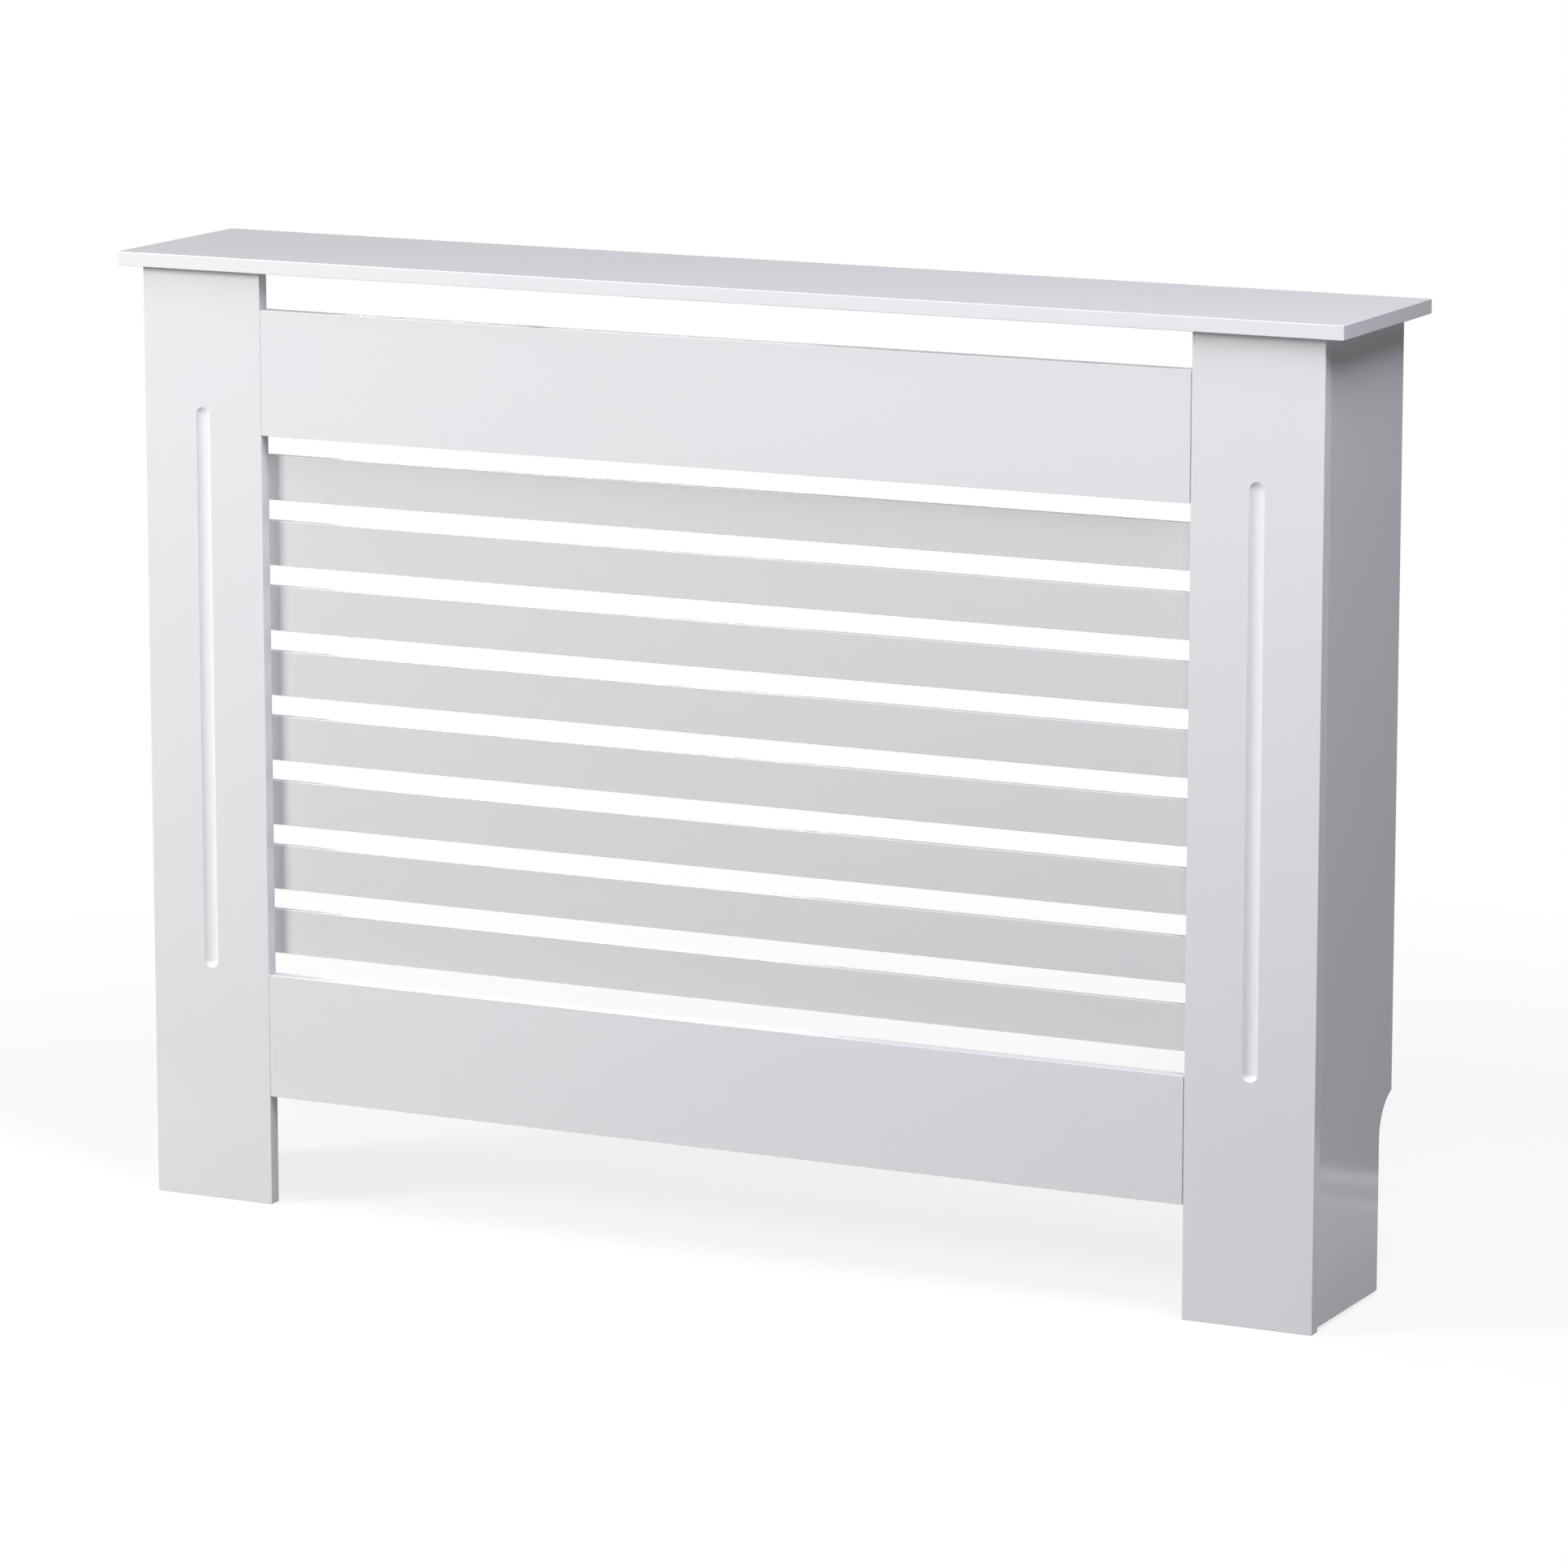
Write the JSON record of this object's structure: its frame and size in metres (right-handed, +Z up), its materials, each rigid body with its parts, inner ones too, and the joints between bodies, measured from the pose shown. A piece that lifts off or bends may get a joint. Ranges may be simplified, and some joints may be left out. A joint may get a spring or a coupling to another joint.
{
  "type": "radiator cover cabinet",
  "caption": "Open-backed cabinet that hides a wall radiator: flat shelf, two side panels cut for a skirting board, grooved front legs, two rails and thin horizontal slats.",
  "frame": {"origin": "on the floor, under the middle of the top shelf: the bottom centre of the bounding box", "axes": "+X along the wall to the right seen from the front, +Y towards the wall, +Z up; the slatted front faces -Y"},
  "size_m": [1.12, 0.19, 0.822],
  "materials": {
    "white_board": "satin white paint sprayed on fibreboard, edges eased",
    "white_slat": "satin white paint sprayed on thin fibreboard",
    "zinc_casting": "die-cast zinc, dull",
    "plated_steel": "bright zinc plate"
  },
  "bodies": {
    "root": {"top_shelf": "white_board", "left_side_panel": "white_board", "right_side_panel": "white_board", "left_front_leg": "white_board", "right_front_leg": "white_board", "upper_rail": "white_board", "lower_rail": "white_board", "slat_1": "white_slat", "slat_2": "white_slat", "slat_3": "white_slat", "slat_4": "white_slat", "slat_5": "white_slat", "slat_6": "white_slat", "slat_7": "white_slat", "slat_8": "white_slat", "upper_rail_left_cam": "zinc_casting", "upper_rail_right_cam": "zinc_casting", "lower_rail_left_cam": "zinc_casting", "lower_rail_right_cam": "zinc_casting", "left_leg_lower_cam": "zinc_casting", "left_leg_upper_cam": "zinc_casting", "left_shelf_front_cam": "zinc_casting", "left_shelf_rear_cam": "zinc_casting", "right_leg_lower_cam": "zinc_casting", "right_leg_upper_cam": "zinc_casting", "right_shelf_front_cam": "zinc_casting", "right_shelf_rear_cam": "zinc_casting", "upper_rail_left_bolt": "plated_steel", "upper_rail_right_bolt": "plated_steel", "lower_rail_left_bolt": "plated_steel", "lower_rail_right_bolt": "plated_steel", "left_leg_lower_bolt": "plated_steel", "left_leg_upper_bolt": "plated_steel", "left_shelf_front_bolt": "plated_steel", "left_shelf_rear_bolt": "plated_steel", "right_leg_lower_bolt": "plated_steel", "right_leg_upper_bolt": "plated_steel", "right_shelf_front_bolt": "plated_steel", "right_shelf_rear_bolt": "plated_steel", "slat_1_left_screw": "plated_steel", "slat_1_right_screw": "plated_steel", "slat_2_left_screw": "plated_steel", "slat_2_right_screw": "plated_steel", "slat_3_left_screw": "plated_steel", "slat_3_right_screw": "plated_steel", "slat_4_left_screw": "plated_steel", "slat_4_right_screw": "plated_steel", "slat_5_left_screw": "plated_steel", "slat_5_right_screw": "plated_steel", "slat_6_left_screw": "plated_steel", "slat_6_right_screw": "plated_steel", "slat_7_left_screw": "plated_steel", "slat_7_right_screw": "plated_steel", "slat_8_left_screw": "plated_steel", "slat_8_right_screw": "plated_steel", "left_bracket_screw": "plated_steel", "right_bracket_screw": "plated_steel", "left_wall_bracket": "plated_steel", "right_wall_bracket": "plated_steel"}
  },
  "joints": []
}
